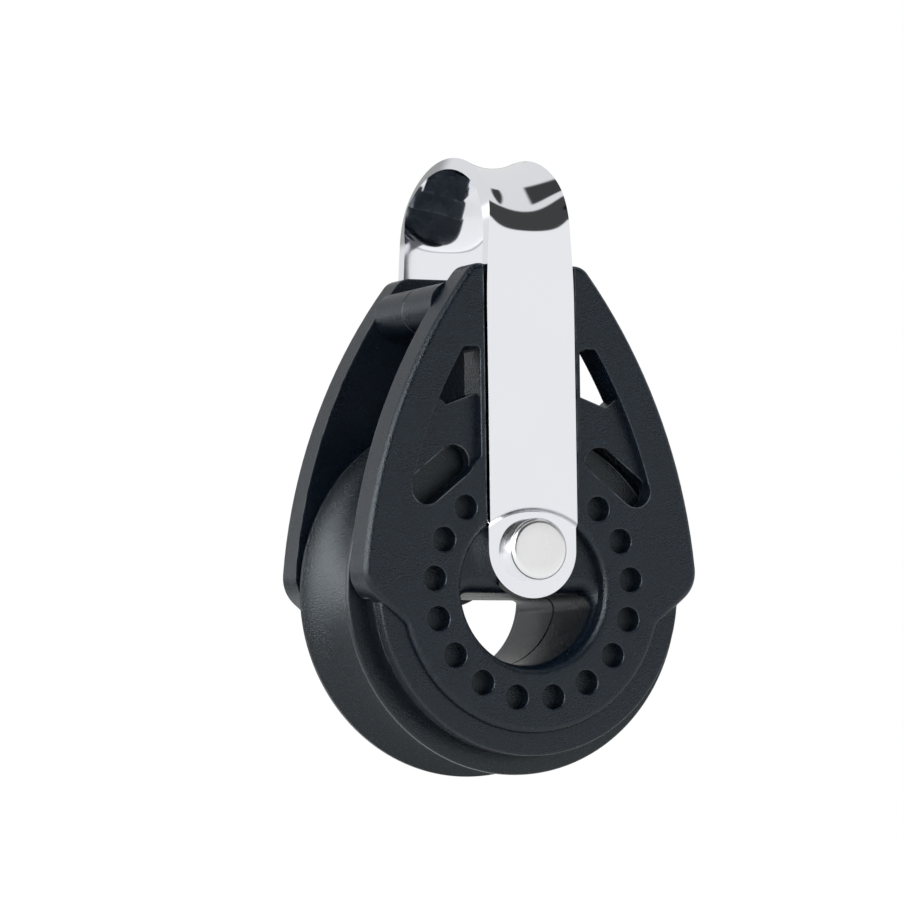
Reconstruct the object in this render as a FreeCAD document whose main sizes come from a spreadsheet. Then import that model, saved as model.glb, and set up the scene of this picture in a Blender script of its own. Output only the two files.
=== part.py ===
import FreeCAD, Part
import math
import os
import Sketcher

# Single sheave block: a grooved sheave on two rings of loose balls, between two moulded cheeks, hung from
# one stainless strap that is bent into a loop over the head and riveted through the hub.
#
# Frame: origin on the sheave axis in the middle of the block, +Y along the axis, +Z up to the loop.
# A depth is measured outwards from the middle plane, so the front cheek lies at negative Y.
# The cheek is drawn once, at the front, and turned half round +Z for the rear. The two differ only in their
# open windows, which a thin wall closes in the rear one.

SIZES = [
    # sheave
    ("sheave_diameter", 29.0, "over the rims"),
    ("sheave_rim_width", 9.3, "over both rims"),
    ("rim_land", 0.45, "flat left on each rim beside the groove"),
    ("rim_round", 0.2, "rounding of the rim edges"),
    ("groove_depth", 2.7, "from rim to groove floor, for line up to 8 mm"),
    ("rim_step", 1.6, "rim of the sheave to the edge of its raised side face"),
    # cheek, across its thickness
    ("rim_gap", 0.55, "sheave rim to cheek, at each side"),
    ("cheek_thickness", 2.9, "inner face to outer face"),
    ("pocket_depth", 1.07, "round pocket inside the cheek for the side of the sheave"),
    ("pocket_gap", 0.5, "radial clearance of the sheave in the pocket"),
    ("hub_side_gap", 0.37, "side of the sheave to the pocket floor"),
    ("flange_thickness", 1.28, "thin lower flange, from the pocket floor"),
    ("face_round", 0.5, "rounding of the outer edges of the cheek"),
    ("flange_round", 0.2, "rounding of the flange edge"),
    # cheek outline
    ("shoulder_cover", 0.03, "how far the shoulders reach beyond the sheave"),
    ("cheek_height", 25.62, "sheave axis to the top of the cheek"),
    ("head_flat", 8.35, "straight top of the cheek"),
    ("head_radius", 1.45, "rounded corner of the head"),
    ("side_radius", 45.2, "long curved side"),
    ("shoulder_height", 1.5, "centre of the shoulder rounding above the axis"),
    ("shoulder_radius", 2.75, "rounding of the shoulder"),
    ("shoulder_slope", 40.0, "degrees of the edge under the shoulder"),
    ("waist_radius", 0.8, "hollow corner between this edge and the round field"),
    ("rim_show", 1.45, "rim of the sheave that shows round the thin lower flange"),
    ("flange_show", 1.75, "lower flange that shows round the raised field"),
    # hub
    ("core_diameter", 14.3, "hub core that the balls roll on"),
    ("bore_diameter", 11.83, "open hole through the hub"),
    ("web_level", -0.25, "underside of the web that closes the top of the hole"),
    ("web_round", 1.3, "rounding of the web at the mouth of the hole"),
    ("bore_corner", 1.0, "rounding of the corners of the hole"),
    ("dish_diameter", 12.4, "sunk round seat in the outer face"),
    ("dish_round", 0.6, "rounding of the mouth of this seat"),
    ("seam_round", 0.2, "rounding of the seam between the cheeks"),
    ("land_gap", 0.5, "centre land of the sheave to the hub core"),
    # balls
    ("ball_diameter", 2.38, "loose plastic balls"),
    ("ball_gap", 0.05, "running clearance of a ball in its race"),
    ("balls_in_row", 21, "balls in one ring"),
    # head boss, the spacer under the loop
    ("boss_length", 14.6, "over the rounded ends"),
    ("boss_height", 3.8, "top to bottom"),
    ("boss_level", 22.45, "middle of the boss above the axis"),
    ("spigot_diameter", 1.8, "locating spigot in the seam of the boss"),
    ("spigot_reach", 1.2, "how far the spigot enters the other cheek"),
    ("spigot_offset", 3.4, "spigot and socket, each side of the middle"),
    ("spigot_gap", 0.05, "clearance round and beyond the spigot"),
    # windows beside the strap
    ("window_inner", 4.4, "edge next to the strap"),
    ("window_top", 19.0, "top edge"),
    ("window_top_width", 1.35, "width of the top edge"),
    ("window_side_radius", 40.0, "curved outer edge"),
    ("window_foot_turn", 13.7, "degrees up the outer end of the slot where the outer edge runs out"),
    ("window_corner", 0.35, "rounding of the corners next to the strap"),
    ("window_skin", 0.6, "wall that closes the open part of the rear windows"),
    ("mouth_round", 0.15, "rounding of the mouths of windows, slots and ring holes"),
    ("window_floor", 2.05, "thickness left under the sunk panel"),
    ("sill_level", 15.5, "sill of the open window, at the strap"),
    ("sill_corner_side", 7.0, "low corner of the sill, sideways"),
    ("sill_corner_drop", 1.05, "low corner of the sill, below the strap end"),
    ("sill_slope", 38.0, "degrees that the sill rises again outside its low corner"),
    ("slot_width", 2.6, "slanted slot"),
    ("slot_side", 6.4, "middle of the upper end of the slot, sideways"),
    ("slot_level", 10.0, "middle of the upper end of the slot, up"),
    ("slot_length", 3.5, "between the middles of its ends"),
    ("slot_slope", 38.5, "degrees that the slot falls outwards"),
    # ring of blind holes
    ("ring_diameter", 17.22, "circle through the holes"),
    ("ring_hole_diameter", 1.9, "one hole"),
    ("ring_hole_depth", 1.25, "one hole"),
    ("ring_division", 17, "places round the circle"),
    ("ring_holes", 14, "places that are not under the strap"),
    # strap
    ("strap_width", 7.64, "legs and round ends"),
    ("strap_thickness", 1.0, "strip"),
    ("strap_proud", 0.2, "how far the strap stands above the cheek"),
    ("strap_side_gap", 0.175, "strap to each side of its channel"),
    ("joggle", 0.3, "step inwards of the round end"),
    ("joggle_top", 6.4, "upper end of the step"),
    ("joggle_run", 0.35, "height of the step"),
    ("joggle_radius", 6.7, "curve of the step, over the rivet"),
    ("loop_level", 27.8, "where the legs begin to bend"),
    ("loop_rise", 6.25, "from there to the top of the loop, in its middle"),
    ("loop_width", 6.6, "strip at the top of the loop"),
    ("taper_level", 22.5, "where the legs begin to narrow"),
    ("saddle_turn", 26.0, "degrees that each edge of the strip turns up round the loop"),
    ("saddle_begin", 0.0, "degrees round the loop where the edges begin to turn up"),
    ("saddle_full", 40.0, "degrees round the loop where they are fully up"),
    # rivet
    ("rivet_level", 3.1, "above the sheave axis"),
    ("rivet_diameter", 3.2, "shank"),
    ("rivet_gap", 0.05, "shank to its holes"),
    ("rivet_head_diameter", 4.9, "both heads"),
    ("rivet_head_height", 1.34, "both heads"),
    ("rivet_head_round", 0.44, "edge of the heads"),
]

# Depths and radii that follow from the sizes, as expressions
INNER = "(Sizes.sheave_rim_width/2 + Sizes.rim_gap)"
FACE = f"({INNER} + Sizes.cheek_thickness)"
POCKET_FLOOR = f"({INNER} + Sizes.pocket_depth)"
FLANGE_FACE = f"({POCKET_FLOOR} + Sizes.flange_thickness)"
STRAP_FACE = f"({FACE} + Sizes.strap_proud)"
CHANNEL_FLOOR = f"({STRAP_FACE} - Sizes.strap_thickness)"
SEAT_FLOOR = f"({CHANNEL_FLOOR} - Sizes.joggle)"
LOBE_FACE = f"({STRAP_FACE} - Sizes.joggle)"
HUB_RADIUS = "(Sizes.sheave_diameter/2 - Sizes.rim_step)"
POCKET_RADIUS = f"({HUB_RADIUS} + Sizes.pocket_gap)"
SHOULDER_REACH = "(Sizes.sheave_diameter/2 + Sizes.shoulder_cover)"
FLANGE_RADIUS = "(Sizes.sheave_diameter/2 - Sizes.rim_show)"
FIELD_RADIUS = f"({FLANGE_RADIUS} - Sizes.flange_show)"
CHANNEL_HALF = "(Sizes.strap_width/2 + Sizes.strap_side_gap)"
RACE = "(Sizes.ball_diameter/2 + Sizes.ball_gap)"
PITCH = f"(Sizes.core_diameter/2 + {RACE})"
ROW_DEPTH = f"({POCKET_FLOOR} - {RACE})"

doc = FreeCAD.newDocument("sheave_block")


# ---------------------------------------------------------------- document helpers

def make_sheet():
    """Put every size in the sheet, with its name as alias and its meaning beside it."""
    table = doc.addObject("Spreadsheet::Sheet", "Sizes")
    for row, (name, value, meaning) in enumerate(SIZES, start=1):
        table.set(f"A{row}", name)
        table.set(f"B{row}", str(value))
        table.set(f"C{row}", meaning)
        table.setAlias(f"B{row}", name)
    doc.recompute()
    return table


sheet = make_sheet()


def value_of(expression):
    """Return what an expression of the sheet's sizes comes to, as a plain number."""
    return float(sheet.evalExpression(f"({expression})*1.0"))


def make_body(label):
    body = doc.addObject("PartDesign::Body", label)
    body.Label = label
    return body


def make_sketch(body, name, plane, depth=None):
    """Attach a sketch to one of the body's own origin planes, moved out along the plane's normal."""
    sketch = body.newObject("Sketcher::SketchObject", f"{body.Name}_{name}")
    support = [item for item in body.Origin.OriginFeatures if item.Role == plane][0]
    sketch.AttachmentSupport = (support, [""])
    sketch.MapMode = "FlatFace"
    if depth:
        sketch.setExpression("AttachmentOffset.Base.z", depth)
    return sketch


def bind_point(sketch, geometry, end, place):
    """Fix a point of the sketch at a place given as two expressions."""
    for kind, expression in zip(("DistanceX", "DistanceY"), place):
        constraint = Sketcher.Constraint(kind, -1, 1, geometry, end, value_of(expression))
        index = sketch.addConstraint(constraint)
        sketch.setExpression(f"Constraints[{index}]", expression)


def arc_between(start, end, radius):
    """Return the shorter arc from start to end; a positive radius bulges to the left of the chord."""
    chord = end - start
    half = chord.Length / 2
    sagitta = abs(radius) - math.sqrt(max(radius * radius - half * half, 0.0))
    side = FreeCAD.Vector(-chord.y, chord.x, 0).normalize() * math.copysign(sagitta, radius)
    return Part.Arc(start, start + chord / 2 + side, end)


def draw_outline(sketch, corners, smooth=(), loose=()):
    """Draw a closed outline. Each corner is (x, y) or (x, y, radius of the arc to the next corner).

    The stretches run smoothly into each other at the corners numbered in smooth; the corners
    numbered in loose are only first guesses, and settle where everything round them is smooth.
    """
    points = [FreeCAD.Vector(value_of(c[0]), value_of(c[1]), 0) for c in corners]
    drawn = []
    for index, corner in enumerate(corners):
        start = points[index]
        end = points[(index + 1) % len(points)]
        if len(corner) == 3:
            drawn.append(sketch.addGeometry(arc_between(start, end, value_of(corner[2]))))
        else:
            drawn.append(sketch.addGeometry(Part.LineSegment(start, end)))
    for index, corner in enumerate(corners):
        before = drawn[index - 1]
        after = drawn[index]
        last = end_at(sketch, before, points[index])
        first = end_at(sketch, after, points[index])
        joint = "Tangent" if index in smooth else "Coincident"
        sketch.addConstraint(Sketcher.Constraint(joint, before, last, after, first))
        if index not in loose:
            bind_point(sketch, after, first, corner[:2])
    for geometry, corner in zip(drawn, corners):
        if len(corner) == 3:
            bind_radius(sketch, geometry, f"abs({corner[2]})")


def bind_radius(sketch, geometry, radius):
    index = sketch.addConstraint(Sketcher.Constraint("Radius", geometry, value_of(radius)))
    sketch.setExpression(f"Constraints[{index}]", radius)


def end_at(sketch, geometry, place):
    """Tell which end of a line or an arc lies at the given place: 1, its start, or 2, its end."""
    at_start = sketch.getPoint(geometry, 1).distanceToPoint(place)
    at_end = sketch.getPoint(geometry, 2).distanceToPoint(place)
    return 1 if at_start <= at_end else 2


def draw_circle(sketch, place, radius):
    centre = FreeCAD.Vector(value_of(place[0]), value_of(place[1]), 0)
    circle = Part.Circle(centre, FreeCAD.Vector(0, 0, 1), value_of(radius))
    geometry = sketch.addGeometry(circle)
    bind_point(sketch, geometry, 3, place)
    bind_radius(sketch, geometry, radius)


def mirrored(corners):
    """Return an outline on the other side of the middle, walked the same way round."""
    flipped = []
    for index in range(len(corners) - 1, -1, -1):
        arc = corners[index - 1][2:]
        flipped.append((f"-({corners[index][0]})", corners[index][1]) + arc)
    return flipped


def check_growth(feature, before, grows):
    """Stop if a feature has changed the solid the wrong way or not at all."""
    doc.recompute()
    after = feature.Shape.Volume
    if (after > before) != grows or abs(after - before) < 1e-4:
        raise RuntimeError(f"{feature.Name}: volume went from {before:.3f} to {after:.3f}")


def pad(body, name, sketch, length):
    """Pad a sketch outwards, along its own normal."""
    before = body.Shape.Volume if body.Tip else 0.0
    feature = body.newObject("PartDesign::Pad", f"{body.Name}_{name}")
    feature.Profile = sketch
    feature.setExpression("Length", length)
    check_growth(feature, before, True)
    return feature


def pocket(body, name, sketch, length=None, outwards=False):
    """Cut a sketch inwards from its plane, or outwards, by a length or right through."""
    before = body.Shape.Volume
    feature = body.newObject("PartDesign::Pocket", f"{body.Name}_{name}")
    feature.Profile = sketch
    feature.Reversed = outwards
    if length:
        feature.setExpression("Length", length)
    else:
        feature.Type = "ThroughAll"
    check_growth(feature, before, False)
    return feature


def round_edges(body, name, radius, chosen):
    """Round the edges of the tip that the function chosen picks."""
    base = body.Tip
    edges = [f"Edge{i}" for i, edge in enumerate(base.Shape.Edges, start=1) if chosen(edge)]
    if not edges:
        raise RuntimeError(f"{body.Name}: no edge to round for {name}")
    feature = body.newObject("PartDesign::Fillet", f"{body.Name}_{name}")
    feature.Base = (base, edges)
    feature.setExpression("Radius", radius)
    doc.recompute()
    if feature.Shape.isNull() or not feature.Shape.isValid():
        raise RuntimeError(f"{feature.Name}: these {len(edges)} edges can't be rounded")
    return feature


def lies_at_depth(edge, depth):
    """True for an edge that lies wholly in the plane at this depth in front of the middle."""
    box = edge.BoundBox
    return abs(box.YMin + depth) < 1e-3 and abs(box.YMax + depth) < 1e-3


def is_round_edge(edge, radius):
    """True for an edge on a circle of this radius about the sheave axis."""
    curve = edge.Curve
    if not isinstance(curve, Part.Circle) or abs(curve.Radius - radius) > 1e-3:
        return False
    return math.hypot(curve.Center.x, curve.Center.z) < 1e-3


# ---------------------------------------------------------------- cheek

def draw_head(sketch):
    """Draw the teardrop outline down to the shoulders; its lower corners lie inside the round field."""
    half = SHOULDER_REACH
    slope = "Sizes.shoulder_slope"
    top = ("Sizes.head_flat/2", "Sizes.cheek_height")
    corner = ("Sizes.head_flat/2 + Sizes.head_radius*0.79", "Sizes.cheek_height - Sizes.head_radius*0.39")
    shoulder = (f"{half} - Sizes.shoulder_radius*0.005", "Sizes.shoulder_height + Sizes.shoulder_radius*0.1")
    under = (f"{half} - Sizes.shoulder_radius*(1 - sin({slope}))",
             f"Sizes.shoulder_height - Sizes.shoulder_radius*cos({slope})")
    foot_side = f"{FIELD_RADIUS}*0.8"
    foot = (foot_side, f"{under[1]} - ({under[0]} - {foot_side})*tan({slope})")
    right = [
        top + ("Sizes.head_radius",),
        corner + ("Sizes.side_radius",),
        shoulder + ("Sizes.shoulder_radius",),
        under,
        foot,
    ]
    draw_outline(sketch, right + mirrored(right), smooth=(0, 1, 2, 3, 6, 7, 8, 9), loose=(1, 2, 7, 8))


def window_outline():
    """Edge of the sunk panel beside the strap, closed along the middle of the slanted slot."""
    inner = "Sizes.window_inner"
    top = "Sizes.window_top"
    start, end = slot_ends()
    return [
        (inner, "Sizes.slot_level + Sizes.slot_width*0.15"),
        (inner, top),
        (f"{inner} + Sizes.window_top_width", top, "Sizes.window_side_radius"),
        window_foot(),
        end,
        start,
        (f"{start[0]} - Sizes.slot_width*0.46", f"{start[1]} - Sizes.slot_width*0.17"),
    ]


def window_foot():
    """Lower end of the outer edge, just inside the round end of the slot."""
    end = slot_ends()[1]
    reach = "Sizes.slot_width*0.49"
    return (f"{end[0]} + {reach}*cos(Sizes.window_foot_turn)",
            f"{end[1]} + {reach}*sin(Sizes.window_foot_turn)")


def slot_ends():
    """Middles of the upper and the lower end of the slanted slot."""
    start = ("Sizes.slot_side", "Sizes.slot_level")
    end = ("Sizes.slot_side + Sizes.slot_length*cos(Sizes.slot_slope)",
           "Sizes.slot_level - Sizes.slot_length*sin(Sizes.slot_slope)")
    return start, end


def slot_outline():
    start, end = slot_ends()
    across = ("Sizes.slot_width/2*sin(Sizes.slot_slope)", "Sizes.slot_width/2*cos(Sizes.slot_slope)")
    round_end = "Sizes.slot_width/2*1.0000001"
    return [
        (f"{start[0]} + {across[0]}", f"{start[1]} + {across[1]}"),
        (f"{end[0]} + {across[0]}", f"{end[1]} + {across[1]}", round_end),
        (f"{end[0]} - {across[0]}", f"{end[1]} - {across[1]}"),
        (f"{start[0]} - {across[0]}", f"{start[1]} - {across[1]}", round_end),
    ]


def panel_outline():
    """Sunk panel between the open window above and the slot below, running into the cheek all round."""
    inner = "Sizes.window_inner - Sizes.slot_width*0.1"
    sill = "Sizes.sill_level"
    low = ("Sizes.sill_corner_side", f"{sill} - Sizes.sill_corner_drop")
    foot_side, foot_level = window_foot()
    outer_side = f"{foot_side} + Sizes.slot_width*0.3"
    rise_side = f"{low[0]} + Sizes.slot_width*0.6"
    rise = (rise_side, f"{low[1]} + ({rise_side} - {low[0]})*tan(Sizes.sill_slope)")
    foot = f"{foot_level} - Sizes.slot_width*0.5"
    return [
        (inner, foot),
        (inner, sill),
        low,
        rise,
        (outer_side, "Sizes.slot_level"),
        (outer_side, foot),
    ]


def skin_outline():
    """Wall that closes the open window, running into the cheek all round."""
    lap = "Sizes.slot_width*0.1"
    inner = f"Sizes.window_inner - {lap}"
    outer = f"Sizes.window_inner + Sizes.window_top_width + {lap}"
    top = f"Sizes.window_top + {lap}"
    sill = "Sizes.sill_level - Sizes.sill_corner_drop - Sizes.window_top_width"
    return [
        (inner, sill),
        (inner, top),
        (outer, top),
        (f"{window_foot()[0]} - {lap}", sill),
    ]


def draw_both_sides(sketch, corners):
    draw_outline(sketch, corners)
    draw_outline(sketch, mirrored(corners))


def add_cheek_forms(body):
    """Teardrop head, raised round field and thin lower flange, with their outer edges rounded."""
    head = make_sketch(body, "head_sketch", "XZ_Plane", INNER)
    draw_head(head)
    pad(body, "head", head, "Sizes.cheek_thickness")
    field = make_sketch(body, "field_sketch", "XZ_Plane", INNER)
    draw_circle(field, ("0", "0"), FIELD_RADIUS)
    pad(body, "field", field, "Sizes.cheek_thickness")
    round_edges(body, "waist_round", "Sizes.waist_radius", is_waist_edge)
    flange = make_sketch(body, "flange_sketch", "XZ_Plane", POCKET_FLOOR)
    draw_circle(flange, ("0", "0"), FLANGE_RADIUS)
    pad(body, "flange", flange, "Sizes.flange_thickness")
    face = value_of(FACE)
    flange_face = value_of(FLANGE_FACE)
    flange_radius = value_of(FLANGE_RADIUS)
    round_edges(body, "face_round", "Sizes.face_round", lambda edge: lies_at_depth(edge, face))
    round_edges(body, "flange_round", "Sizes.flange_round",
                lambda edge: lies_at_depth(edge, flange_face) and is_round_edge(edge, flange_radius))


def is_waist_edge(edge):
    """True for the hollow edges, along the axis, where the head runs into the round field."""
    box = edge.BoundBox
    return box.YLength > 1.0 and box.XLength < 1e-3 and box.ZLength < 1e-3 and box.ZMin < -0.5


def add_hub(body):
    """Pocket for the side of the sheave, and the hub core with the ball race in its corner."""
    side = make_sketch(body, "pocket_sketch", "XZ_Plane", INNER)
    draw_circle(side, ("0", "0"), POCKET_RADIUS)
    pocket(body, "pocket", side, "Sizes.pocket_depth", outwards=True)
    core = make_sketch(body, "core_sketch", "XZ_Plane")
    draw_circle(core, ("0", "0"), "Sizes.core_diameter/2")
    pad(body, "core", core, POCKET_FLOOR)
    floor = value_of(POCKET_FLOOR)
    radius = value_of("Sizes.core_diameter/2")
    round_edges(body, "race", RACE,
                lambda edge: lies_at_depth(edge, floor) and is_round_edge(edge, radius))


def add_boss(body):
    """Half of the spacer under the loop, with a spigot at one side and its socket at the other."""
    half = "(Sizes.boss_length - Sizes.boss_height)/2"
    top = "Sizes.boss_level + Sizes.boss_height/2"
    bottom = "Sizes.boss_level - Sizes.boss_height/2"
    round_end = "Sizes.boss_height/2*1.0000001"
    boss = make_sketch(body, "boss_sketch", "XZ_Plane")
    draw_outline(boss, [
        (f"-{half}", top),
        (half, top, round_end),
        (half, bottom),
        (f"-{half}", bottom, round_end),
    ])
    pad(body, "boss", boss, INNER)
    low = value_of(bottom)
    round_edges(body, "boss_seam", "Sizes.seam_round",
                lambda edge: lies_at_depth(edge, 0.0) and edge.BoundBox.ZMin > low - 1e-3)
    socket = make_sketch(body, "socket_sketch", "XZ_Plane")
    draw_circle(socket, ("-Sizes.spigot_offset", "Sizes.boss_level"),
                "Sizes.spigot_diameter/2 + Sizes.spigot_gap")
    pocket(body, "socket", socket, "Sizes.spigot_reach + Sizes.spigot_gap", outwards=True)
    spigot = make_sketch(body, "spigot_sketch", "XZ_Plane", "-Sizes.spigot_reach")
    draw_circle(spigot, ("Sizes.spigot_offset", "Sizes.boss_level"), "Sizes.spigot_diameter/2")
    pad(body, "spigot", spigot, "2*Sizes.spigot_reach")


def add_strap_seat(body):
    """Channel for the strap's leg and the deeper dish in which its round end is riveted."""
    channel = make_sketch(body, "channel_sketch", "XZ_Plane", FACE)
    draw_outline(channel, rectangle(CHANNEL_HALF, "0", "Sizes.cheek_height + 1"))
    pocket(body, "channel", channel, f"{FACE} - {CHANNEL_FLOOR}")
    seat = make_sketch(body, "seat_sketch", "XZ_Plane", FACE)
    draw_outline(seat, rectangle(CHANNEL_HALF, "0", "Sizes.joggle_top + Sizes.strap_side_gap"))
    pocket(body, "seat", seat, f"{FACE} - {SEAT_FLOOR}")
    dish = make_sketch(body, "dish_sketch", "XZ_Plane", FACE)
    draw_circle(dish, ("0", "0"), "Sizes.dish_diameter/2")
    pocket(body, "dish", dish, f"{FACE} - {SEAT_FLOOR}")
    face = value_of(FACE)
    radius = value_of("Sizes.dish_diameter/2")
    round_edges(body, "dish_round", "Sizes.dish_round",
                lambda edge: lies_at_depth(edge, face) and is_round_edge(edge, radius))


def rectangle(half, bottom, top):
    return [(f"-{half}", bottom), (f"-{half}", top), (half, top), (half, bottom)]


def add_bore(body):
    """Open hole through the hub under the web, and the rivet's hole through the web."""
    radius = "Sizes.bore_diameter/2"
    level = "Sizes.web_level"
    half = f"sqrt(({radius})^2 - {level}^2)"
    bore = make_sketch(body, "bore_sketch", "XZ_Plane", FACE)
    draw_outline(bore, [
        (f"-{half}", level),
        (half, level, radius),
        ("0", f"-{radius}", radius),
    ])
    pocket(body, "bore", bore)
    corner = value_of(half)
    round_edges(body, "bore_corner", "Sizes.bore_corner",
                lambda edge: is_bore_corner(edge, corner, value_of(level)))
    seat = value_of(SEAT_FLOOR)
    round_edges(body, "web_round", "Sizes.web_round",
                lambda edge: lies_at_depth(edge, seat) and is_web_edge(edge, value_of(level)))
    round_edges(body, "bore_seam", "Sizes.seam_round",
                lambda edge: lies_at_depth(edge, 0.0) and is_bore_edge(edge, value_of(radius), value_of(level)))
    hole = make_sketch(body, "rivet_sketch", "XZ_Plane", FACE)
    draw_circle(hole, ("0", "Sizes.rivet_level"), "Sizes.rivet_diameter/2 + Sizes.rivet_gap")
    pocket(body, "rivet_hole", hole)


def is_bore_corner(edge, side, level):
    """True for an edge along the axis at a corner of the hole through the hub."""
    box = edge.BoundBox
    across = abs(abs(box.XMin) - side) < 1e-3 and abs(box.XMax - box.XMin) < 1e-3
    return across and abs(box.ZMin - level) < 1e-3 and box.YLength > 1.0


def is_bore_edge(edge, radius, level):
    """True for an edge of the hole through the hub, which lies under the web and within its radius."""
    box = edge.BoundBox
    return box.ZMax < level + 1e-3 and -box.ZMin < radius + 1e-3 and box.XMax < radius + 1e-3


def is_web_edge(edge, level):
    """True for the straight lower edge of the web at the mouth of the hole."""
    box = edge.BoundBox
    return abs(box.ZMin - level) < 1e-3 and abs(box.ZMax - level) < 1e-3 and box.XLength > 1.0


def is_window_corner(edge):
    """True for the edges, along the axis, at the corners of the windows beside the strap."""
    box = edge.BoundBox
    if box.YLength < 1.0 or box.XLength > 1e-3 or box.ZLength > 1e-3:
        return False
    beside = abs(abs(box.XMin) - value_of("Sizes.window_inner")) < 1e-3
    return beside or abs(box.ZMin - value_of("Sizes.window_top")) < 1e-3


def is_window_mouth(edge):
    """True for the edges of the windows above the slots, which the caller looks for in one face."""
    box = edge.BoundBox
    low = value_of("Sizes.slot_level")
    top = value_of("Sizes.window_top")
    inner = value_of("Sizes.window_inner")
    return low < box.ZMax < top + 1e-3 and min(abs(box.XMin), abs(box.XMax)) > inner - 1e-3


def add_windows(body, closed):
    """Open window, sunk panel and slanted slot at each side of the strap, closed inside at the rear."""
    opening = make_sketch(body, "window_sketch", "XZ_Plane", FACE)
    draw_both_sides(opening, window_outline())
    pocket(body, "window", opening, "Sizes.cheek_thickness")
    round_edges(body, "window_corner", "Sizes.window_corner", is_window_corner)
    panel = make_sketch(body, "panel_sketch", "XZ_Plane", INNER)
    draw_both_sides(panel, panel_outline())
    pad(body, "panel", panel, "Sizes.window_floor")
    if closed:
        skin = make_sketch(body, "skin_sketch", "XZ_Plane", INNER)
        draw_both_sides(skin, skin_outline())
        pad(body, "skin", skin, "Sizes.window_skin")
    slot = make_sketch(body, "slot_sketch", "XZ_Plane", FACE)
    draw_both_sides(slot, slot_outline())
    pocket(body, "slot", slot, "Sizes.cheek_thickness")
    face = value_of(FACE)
    round_edges(body, "window_mouth", "Sizes.mouth_round",
                lambda edge: lies_at_depth(edge, face) and is_window_mouth(edge))


def add_ring_holes(body):
    """Ring of blind holes over the ball track; the places under the strap are left out."""
    step = "360/Sizes.ring_division"
    first = f"(Sizes.ring_holes - 1)/2*{step}"
    hole = make_sketch(body, "ring_sketch", "XZ_Plane", FACE)
    place = (f"-Sizes.ring_diameter/2*sin({first})", f"-Sizes.ring_diameter/2*cos({first})")
    draw_circle(hole, place, "Sizes.ring_hole_diameter/2")
    cut = pocket(body, "ring_hole", hole, "Sizes.ring_hole_depth")
    before = cut.Shape.Volume
    pattern = body.newObject("PartDesign::PolarPattern", f"{body.Name}_ring_pattern")
    pattern.Originals = [cut]
    pattern.Axis = (make_axis(body), [""])
    pattern.setExpression("Occurrences", "Sizes.ring_holes")
    pattern.setExpression("Angle", f"(Sizes.ring_holes - 1)*{step}")
    pattern.Reversed = True
    body.Tip = pattern
    check_growth(pattern, before, False)
    face = value_of(FACE)
    radius = value_of("Sizes.ring_hole_diameter/2")
    round_edges(body, "ring_mouth", "Sizes.mouth_round",
                lambda edge: lies_at_depth(edge, face) and abs(edge.BoundBox.XLength - 2 * radius) < 1e-3)


def make_axis(body):
    return [item for item in body.Origin.OriginFeatures if item.Role == "Y_Axis"][0]


def make_cheek(label, turn):
    body = make_body(label)
    add_cheek_forms(body)
    add_windows(body, turn == 180)
    add_hub(body)
    add_boss(body)
    add_strap_seat(body)
    add_bore(body)
    add_ring_holes(body)
    body.Placement = FreeCAD.Placement(FreeCAD.Vector(), FreeCAD.Rotation(FreeCAD.Vector(0, 0, 1), turn))
    return body


# ---------------------------------------------------------------- sheave and balls

def make_sheave():
    """Grooved wheel with a ball race in the corner at each side of its bore."""
    body = make_body("sheave")
    rim = "Sizes.sheave_diameter/2"
    rim_side = "Sizes.sheave_rim_width/2"
    groove_half = f"({rim_side} - Sizes.rim_land)"
    groove_radius = f"(({groove_half})^2 + Sizes.groove_depth^2)/(2*Sizes.groove_depth)"
    hub = HUB_RADIUS
    hub_side = f"({POCKET_FLOOR} - Sizes.hub_side_gap)"
    race_radius = f"({PITCH} + {RACE})"
    shoulder = f"({ROW_DEPTH} - {RACE})"
    land = "(Sizes.core_diameter/2 + Sizes.land_gap)"
    half = [
        (rim, groove_half),
        (rim, rim_side),
        (hub, rim_side),
        (hub, hub_side),
        (race_radius, hub_side),
        (race_radius, ROW_DEPTH, RACE),
        (PITCH, shoulder),
        (land, shoulder),
    ]
    other = [(x, f"-({y})") for x, y in (corner[:2] for corner in reversed(half))]
    other[1] += (RACE,)
    other[-1] += (groove_radius,)
    section = make_sketch(body, "section_sketch", "XY_Plane")
    draw_outline(section, half + other)
    turned = body.newObject("PartDesign::Revolution", "sheave_turned")
    turned.Profile = section
    turned.ReferenceAxis = (section, ["V_Axis"])
    turned.Angle = 360.0
    check_growth(turned, 0.0, True)
    outer = value_of(rim)
    round_edges(body, "rim_round", "Sizes.rim_round", lambda edge: is_round_edge(edge, outer))
    return body


def make_balls(name, side):
    """Ring of loose balls, each a sphere of its own, in the front (-1) or the rear (+1) race."""
    count = int(value_of("Sizes.balls_in_row"))
    for number in range(count):
        ball = doc.addObject("Part::Sphere", f"{name}_{number + 1:02d}")
        ball.Label = ball.Name
        angle = f"{number}*360/Sizes.balls_in_row"
        ball.setExpression("Radius", "Sizes.ball_diameter/2")
        ball.setExpression("Placement.Base.x", f"{PITCH}*sin({angle})")
        ball.setExpression("Placement.Base.y", f"{side}*{ROW_DEPTH}")
        ball.setExpression("Placement.Base.z", f"{PITCH}*cos({angle})")
        balls.append(ball)


# ---------------------------------------------------------------- strap and rivet

LOOP_STATIONS = 18
STRAIGHT_STATIONS = 4
STRIP_POINTS = 7


def saddle_angle(turn):
    """Half of the angle that the strip's cross-section turns through, this far round the loop."""
    from_leg = min(turn, 180.0 - turn)
    begin = value_of("Sizes.saddle_begin")
    span = value_of("Sizes.saddle_full") - begin
    share = min(max((from_leg - begin) / span, 0.0), 1.0)
    smooth = share * share * (3 - 2 * share)
    return math.radians(value_of("Sizes.saddle_turn")) * smooth


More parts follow.
